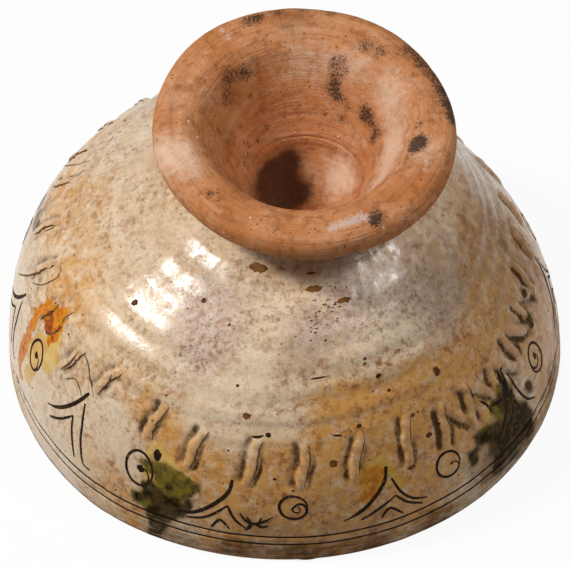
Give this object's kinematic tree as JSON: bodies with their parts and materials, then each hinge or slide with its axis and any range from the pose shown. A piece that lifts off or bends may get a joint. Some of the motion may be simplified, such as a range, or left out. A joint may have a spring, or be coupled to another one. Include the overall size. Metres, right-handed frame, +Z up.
{
  "type": "footed sgraffito bowl",
  "caption": "Footed earthenware bowl with white slip, incised ornament and lead glaze, standing upside down on its rim with the hollow foot ring up.",
  "frame": {"origin": "middle of the rim, on the surface that the rim stands on", "axes": "+Z up from the rim to the foot ring, the bowl being upside down; +X to the right and -Y towards the viewer of the picture"},
  "size_m": [0.1597, 0.1598, 0.0959],
  "materials": {
    "clay": "unglazed red earthenware, matt, turned",
    "luting_slip": "matt clay slip",
    "white_slip": "matt white slip under the glaze",
    "lead_glaze": "worn transparent lead glaze over white slip, with brown and green stains",
    "inner_glaze": "transparent lead glaze over white slip"
  },
  "bodies": {
    "root": {"bowl_wall": "clay", "pedestal_foot": "clay", "luting_slip": "luting_slip", "outer_slip": "white_slip", "outer_glaze": "lead_glaze", "inner_slip": "white_slip", "inner_glaze": "inner_glaze"}
  },
  "joints": []
}
